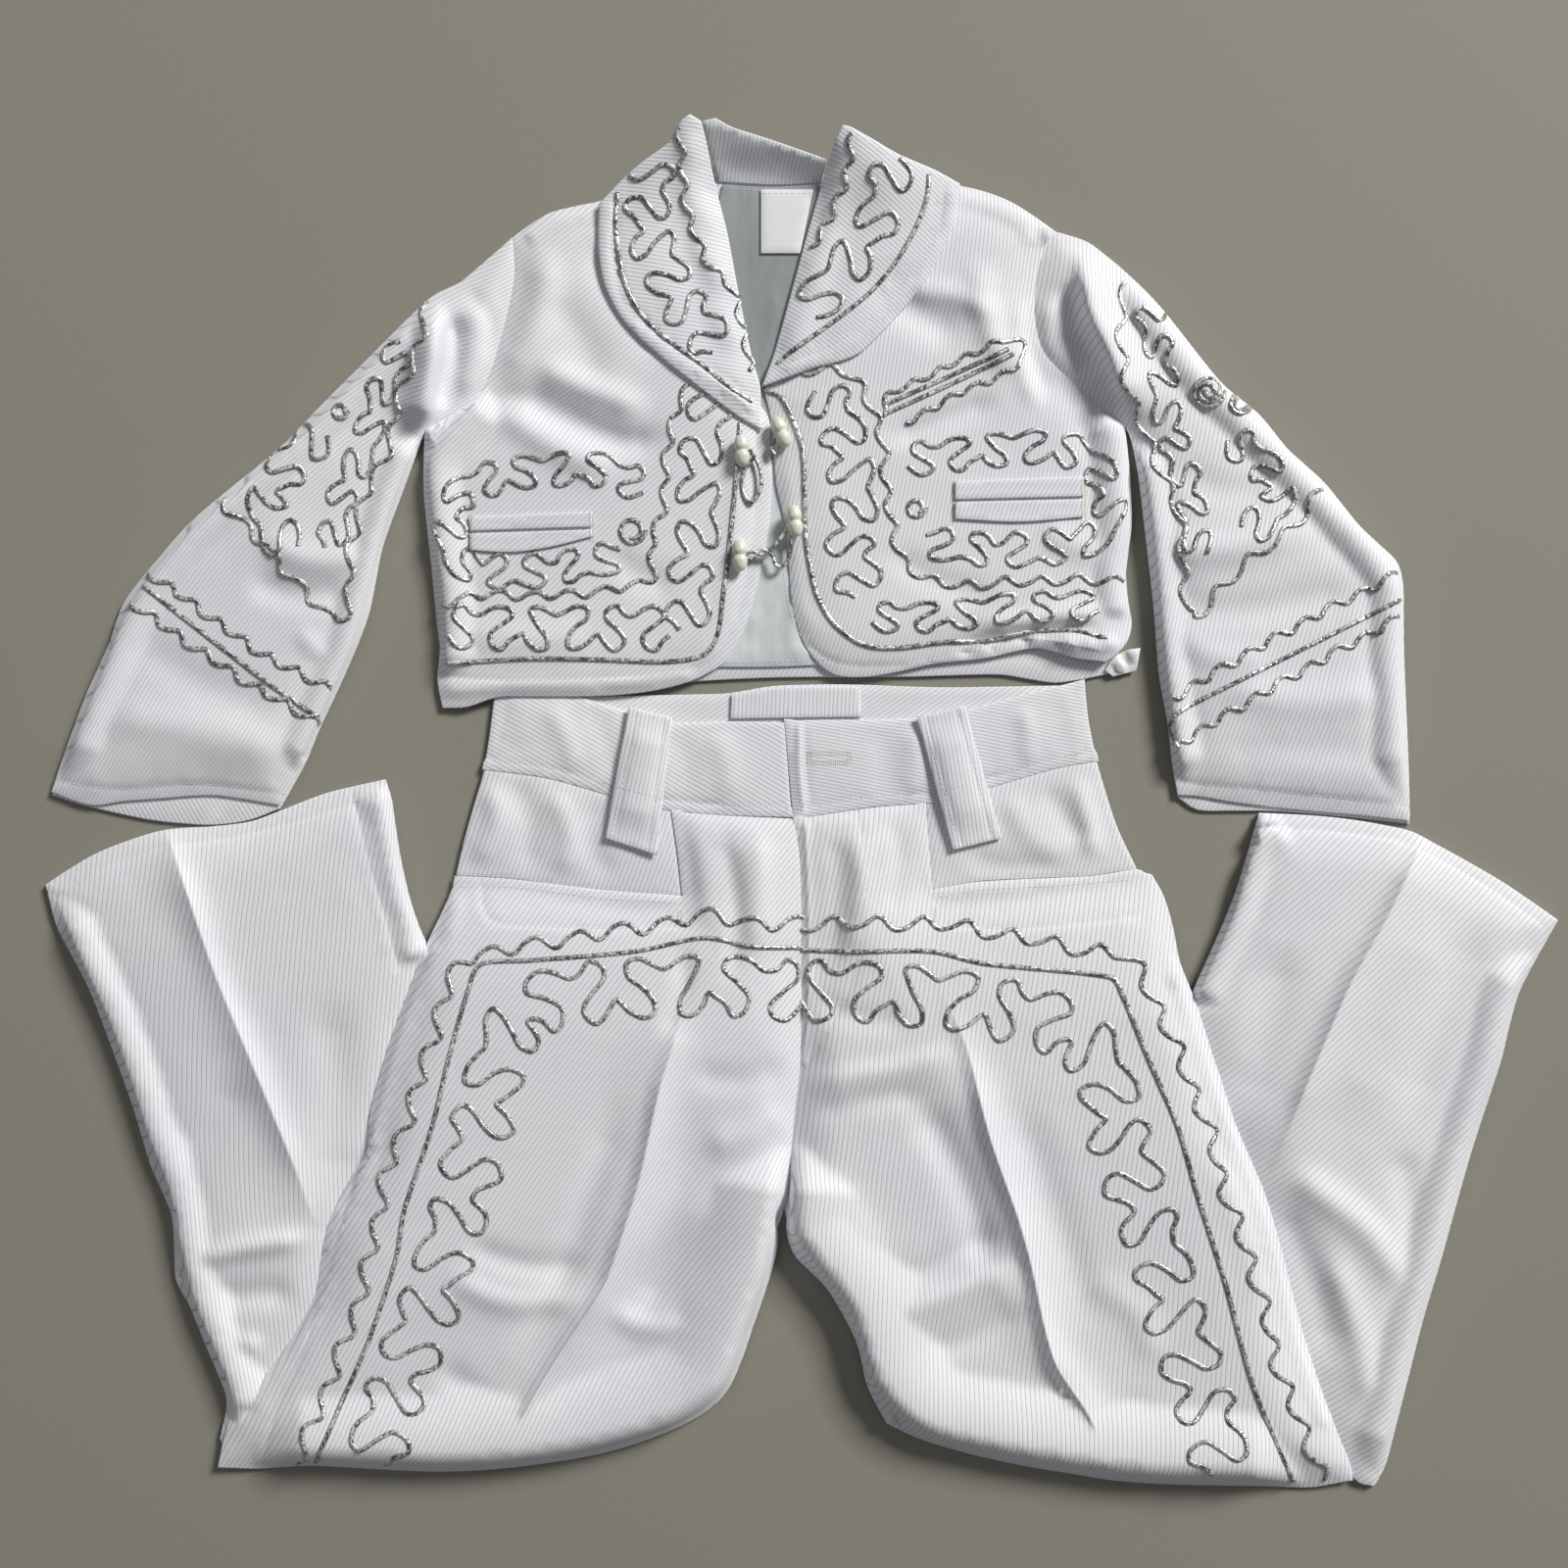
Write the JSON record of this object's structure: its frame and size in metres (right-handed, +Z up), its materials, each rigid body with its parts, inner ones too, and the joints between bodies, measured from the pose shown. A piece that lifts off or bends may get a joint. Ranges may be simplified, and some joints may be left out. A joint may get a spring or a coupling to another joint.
{
  "type": "charro suit",
  "caption": "Child's charro suit laid flat: short shawl-collar jacket with toggles and silver cord trim over trousers with the legs folded under at the knee.",
  "frame": {"origin": "middle of the underside of the laid suit's box, on the surface it lies on", "axes": "+Z up from the surface, +Y towards the collar, +X towards the wearer's left side"},
  "size_m": [0.7706, 0.6916, 0.0213],
  "materials": {
    "white_twill": "matte ribbed twill",
    "pale_satin": "soft satin sheen",
    "label_tape": "matte woven tape",
    "ivory_resin": "satin",
    "silver_cord": "metallic thread over a core"
  },
  "bodies": {
    "root": {"jacket_back": "white_twill", "jacket_front_right": "white_twill", "jacket_front_left": "white_twill", "collar_stand": "white_twill", "collar_right": "white_twill", "collar_left": "white_twill", "sleeve_upper_right": "white_twill", "sleeve_upper_left": "white_twill", "sleeve_under_right": "white_twill", "sleeve_under_left": "white_twill", "welt_right_upper": "white_twill", "welt_right_lower": "white_twill", "welt_left_upper": "white_twill", "welt_left_lower": "white_twill", "waistband_back": "white_twill", "waistband_tab": "white_twill", "waistband_front_right": "white_twill", "waistband_front_left": "white_twill", "seat_back": "white_twill", "hip_yoke_right": "white_twill", "hip_yoke_left": "white_twill", "thigh_right": "white_twill", "thigh_left": "white_twill", "folded_leg_right": "white_twill", "folded_leg_left": "white_twill", "lower_leg_back_right": "white_twill", "lower_leg_back_left": "white_twill", "lower_leg_front_right": "white_twill", "lower_leg_front_left": "white_twill", "belt_loop_right": "white_twill", "belt_loop_left": "white_twill", "jacket_lining": "pale_satin", "hem_lining_left": "pale_satin", "care_label": "label_tape", "toggle_right_upper": "ivory_resin", "toggle_right_lower": "ivory_resin", "toggle_left_upper": "ivory_resin", "toggle_left_lower": "ivory_resin", "cord_front_right": "silver_cord", "cord_front_left": "silver_cord", "cord_collar_right": "silver_cord", "cord_collar_left": "silver_cord", "cord_sleeve_right": "silver_cord", "cord_sleeve_left": "silver_cord", "cord_thigh_right": "silver_cord", "cord_thigh_left": "silver_cord", "frog_loop_upper": "silver_cord", "frog_loop_lower": "silver_cord"}
  },
  "joints": []
}
